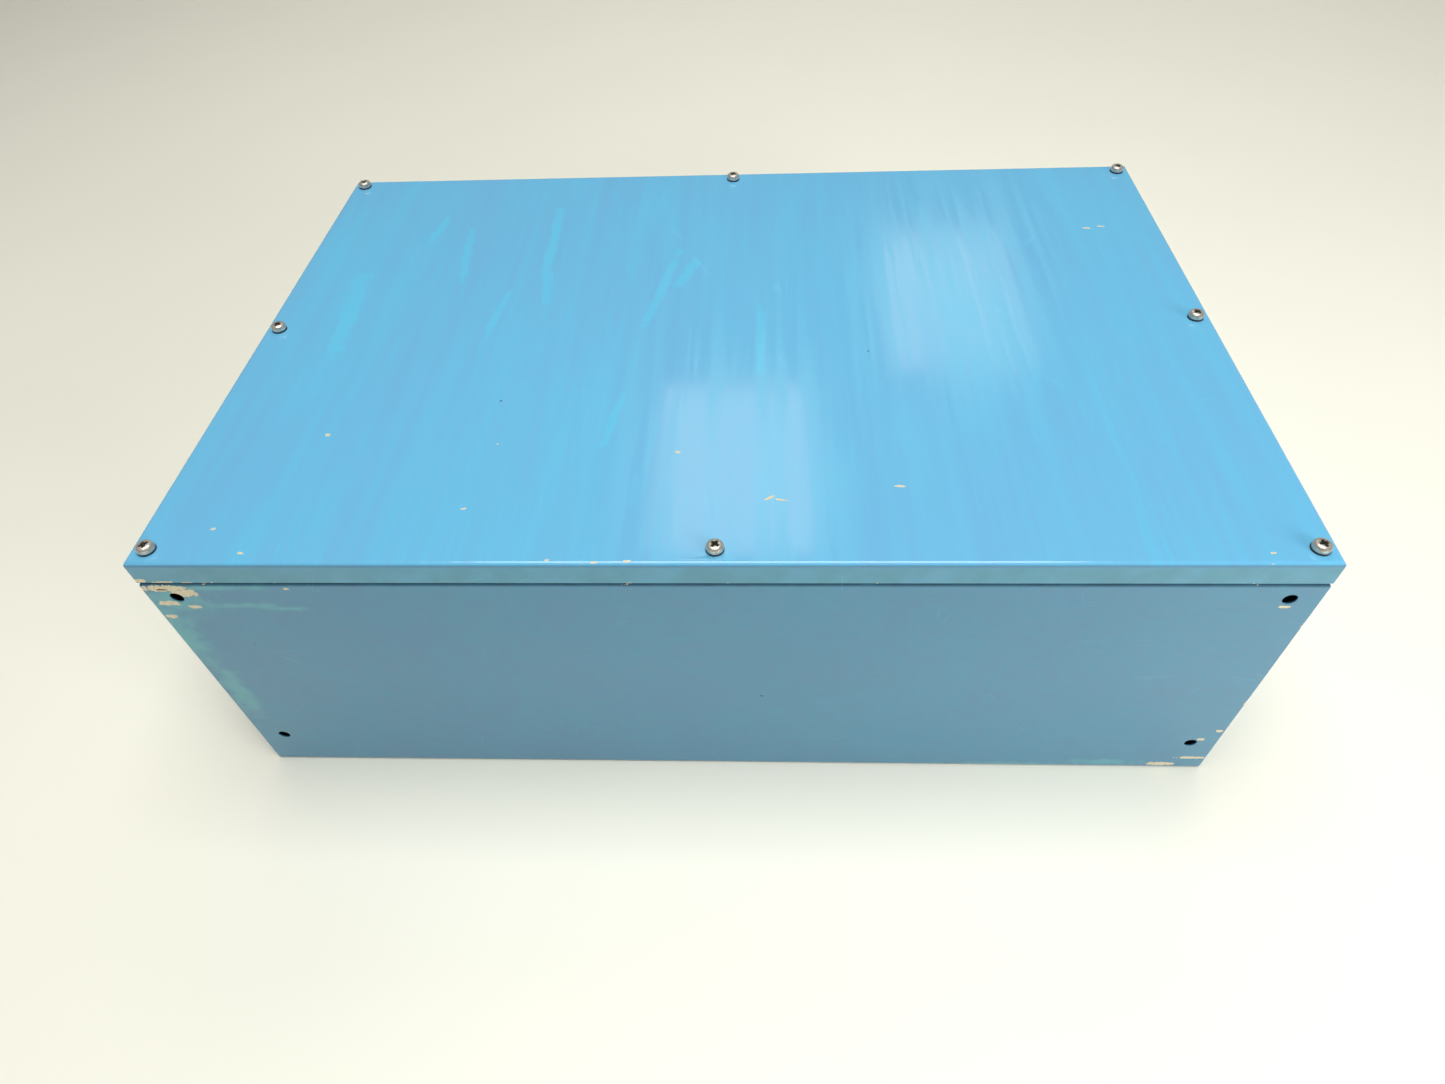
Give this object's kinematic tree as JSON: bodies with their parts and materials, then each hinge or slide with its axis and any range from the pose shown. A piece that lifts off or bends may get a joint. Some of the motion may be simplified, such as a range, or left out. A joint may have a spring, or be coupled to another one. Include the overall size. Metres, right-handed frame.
{
  "type": "screw-cover terminal enclosure",
  "caption": "Blue painted sheet-steel terminal enclosure lying on its back, with a shallow screwed pan cover, drilled side wall and inner mounting plate.",
  "frame": {"origin": "centre of the back panel's outer face, which is the face the enclosure lies on", "axes": "+Z through the cover, +X along the long side, the drilled long side wall faces -Y"},
  "size_m": [0.6, 0.4, 0.2047],
  "materials": {
    "blue_paint": "glossy aged paint, chipped to primer at edges",
    "screw_steel": "dulled bright zinc",
    "washer_rubber": "matt black",
    "gasket_rubber": "matt foam rubber",
    "galvanised_plate": "galvanised, dull spangle",
    "zinc_fastener": "zinc plated"
  },
  "bodies": {
    "body": {"body_shell": "blue_paint", "bush_front_left": "zinc_fastener", "bush_front_middle": "zinc_fastener", "bush_front_right": "zinc_fastener", "bush_right_middle": "zinc_fastener", "bush_back_right": "zinc_fastener", "bush_back_middle": "zinc_fastener", "bush_back_left": "zinc_fastener", "bush_left_middle": "zinc_fastener", "mounting_plate": "galvanised_plate", "plate_stud_front_left": "zinc_fastener", "plate_washer_front_left": "zinc_fastener", "plate_nut_front_left": "zinc_fastener", "plate_stud_front_right": "zinc_fastener", "plate_washer_front_right": "zinc_fastener", "plate_nut_front_right": "zinc_fastener", "plate_stud_back_right": "zinc_fastener", "plate_washer_back_right": "zinc_fastener", "plate_nut_back_right": "zinc_fastener", "plate_stud_back_left": "zinc_fastener", "plate_washer_back_left": "zinc_fastener", "plate_nut_back_left": "zinc_fastener", "body_earth_stud": "zinc_fastener", "body_earth_washer": "zinc_fastener", "body_earth_nut": "zinc_fastener"},
    "cover": {"cover": "blue_paint", "gasket": "gasket_rubber", "cover_earth_stud": "zinc_fastener", "cover_earth_washer": "zinc_fastener", "cover_earth_nut": "zinc_fastener"},
    "washer_front_left": {"washer_front_left": "washer_rubber"},
    "screw_front_left": {"screw_front_left": "screw_steel"},
    "washer_front_middle": {"washer_front_middle": "washer_rubber"},
    "screw_front_middle": {"screw_front_middle": "screw_steel"},
    "washer_front_right": {"washer_front_right": "washer_rubber"},
    "screw_front_right": {"screw_front_right": "screw_steel"},
    "washer_right_middle": {"washer_right_middle": "washer_rubber"},
    "screw_right_middle": {"screw_right_middle": "screw_steel"},
    "washer_back_right": {"washer_back_right": "washer_rubber"},
    "screw_back_right": {"screw_back_right": "screw_steel"},
    "washer_back_middle": {"washer_back_middle": "washer_rubber"},
    "screw_back_middle": {"screw_back_middle": "screw_steel"},
    "washer_back_left": {"washer_back_left": "washer_rubber"},
    "screw_back_left": {"screw_back_left": "screw_steel"},
    "washer_left_middle": {"washer_left_middle": "washer_rubber"},
    "screw_left_middle": {"screw_left_middle": "screw_steel"}
  },
  "joints": [
    {"name": "cover_lift", "type": "slide", "parent": "body", "child": "cover", "axis": [0, 0, 1], "range_m": [0, 0.25]},
    {"name": "screw_front_left_rise", "type": "slide", "parent": "cover", "child": "washer_front_left", "axis": [0, 0, 1], "range_m": [0, 0.0136]},
    {"name": "screw_front_left_turn", "type": "hinge", "parent": "washer_front_left", "child": "screw_front_left", "pos_m": [-0.2905, -0.1905, 0.201], "axis": [0, 0, 1], "range_deg": [0, 6125]},
    {"name": "screw_front_middle_rise", "type": "slide", "parent": "cover", "child": "washer_front_middle", "axis": [0, 0, 1], "range_m": [0, 0.0136]},
    {"name": "screw_front_middle_turn", "type": "hinge", "parent": "washer_front_middle", "child": "screw_front_middle", "pos_m": [0, -0.1905, 0.201], "axis": [0, 0, 1], "range_deg": [0, 6125]},
    {"name": "screw_front_right_rise", "type": "slide", "parent": "cover", "child": "washer_front_right", "axis": [0, 0, 1], "range_m": [0, 0.0136]},
    {"name": "screw_front_right_turn", "type": "hinge", "parent": "washer_front_right", "child": "screw_front_right", "pos_m": [0.2905, -0.1905, 0.201], "axis": [0, 0, 1], "range_deg": [0, 6125]},
    {"name": "screw_right_middle_rise", "type": "slide", "parent": "cover", "child": "washer_right_middle", "axis": [0, 0, 1], "range_m": [0, 0.0136]},
    {"name": "screw_right_middle_turn", "type": "hinge", "parent": "washer_right_middle", "child": "screw_right_middle", "pos_m": [0.2905, 0, 0.201], "axis": [0, 0, 1], "range_deg": [0, 6125]},
    {"name": "screw_back_right_rise", "type": "slide", "parent": "cover", "child": "washer_back_right", "axis": [0, 0, 1], "range_m": [0, 0.0136]},
    {"name": "screw_back_right_turn", "type": "hinge", "parent": "washer_back_right", "child": "screw_back_right", "pos_m": [0.2905, 0.1905, 0.201], "axis": [0, 0, 1], "range_deg": [0, 6125]},
    {"name": "screw_back_middle_rise", "type": "slide", "parent": "cover", "child": "washer_back_middle", "axis": [0, 0, 1], "range_m": [0, 0.0136]},
    {"name": "screw_back_middle_turn", "type": "hinge", "parent": "washer_back_middle", "child": "screw_back_middle", "pos_m": [0, 0.1905, 0.201], "axis": [0, 0, 1], "range_deg": [0, 6125]},
    {"name": "screw_back_left_rise", "type": "slide", "parent": "cover", "child": "washer_back_left", "axis": [0, 0, 1], "range_m": [0, 0.0136]},
    {"name": "screw_back_left_turn", "type": "hinge", "parent": "washer_back_left", "child": "screw_back_left", "pos_m": [-0.2905, 0.1905, 0.201], "axis": [0, 0, 1], "range_deg": [0, 6125]},
    {"name": "screw_left_middle_rise", "type": "slide", "parent": "cover", "child": "washer_left_middle", "axis": [0, 0, 1], "range_m": [0, 0.0136]},
    {"name": "screw_left_middle_turn", "type": "hinge", "parent": "washer_left_middle", "child": "screw_left_middle", "pos_m": [-0.2905, 0, 0.201], "axis": [0, 0, 1], "range_deg": [0, 6125]}
  ],
  "couplings": [
    {"joint": "screw_front_left_turn", "follows": "screw_front_left_rise", "rad_per_m": 7854},
    {"joint": "screw_front_middle_turn", "follows": "screw_front_middle_rise", "rad_per_m": 7854},
    {"joint": "screw_front_right_turn", "follows": "screw_front_right_rise", "rad_per_m": 7854},
    {"joint": "screw_right_middle_turn", "follows": "screw_right_middle_rise", "rad_per_m": 7854},
    {"joint": "screw_back_right_turn", "follows": "screw_back_right_rise", "rad_per_m": 7854},
    {"joint": "screw_back_middle_turn", "follows": "screw_back_middle_rise", "rad_per_m": 7854},
    {"joint": "screw_back_left_turn", "follows": "screw_back_left_rise", "rad_per_m": 7854},
    {"joint": "screw_left_middle_turn", "follows": "screw_left_middle_rise", "rad_per_m": 7854}
  ]
}
